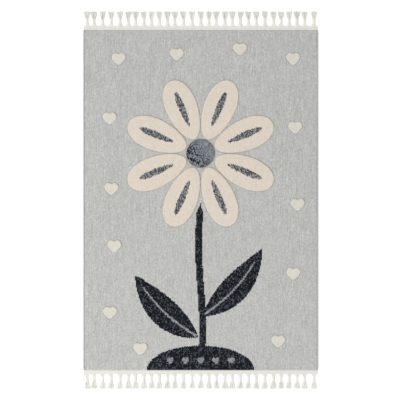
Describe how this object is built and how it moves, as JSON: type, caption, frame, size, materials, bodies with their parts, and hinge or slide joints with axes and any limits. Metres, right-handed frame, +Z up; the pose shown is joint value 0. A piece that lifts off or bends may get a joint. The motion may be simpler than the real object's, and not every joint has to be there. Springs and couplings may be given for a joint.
{
  "type": "kids rug",
  "caption": "Flat rectangular pile rug for a child's room, heather grey with raised cream motifs and tasselled tapes along both short ends.",
  "frame": {"origin": "on the floor under the middle of the rug", "axes": "+Y along the rug's length towards its head end, +X across it to the right seen from above, +Z up out of the pile"},
  "size_m": [1.2, 1.9296, 0.013],
  "materials": {
    "grey_pile": "heather grey woven pile",
    "serging_yarn": "overcast grey yarn",
    "fringe_cotton": "off-white cotton yarn",
    "cream_pile": "smooth cream pile",
    "charcoal_pile": "charcoal heather pile",
    "blue_grey_pile": "blue-grey pile",
    "backing_cloth": "plain woven backing"
  },
  "bodies": {
    "root": {"pile_cloth": "grey_pile", "serged_edge_left": "serging_yarn", "serged_edge_right": "serging_yarn", "fringe_head_end": "fringe_cotton", "fringe_foot_end": "fringe_cotton"}
  },
  "joints": []
}
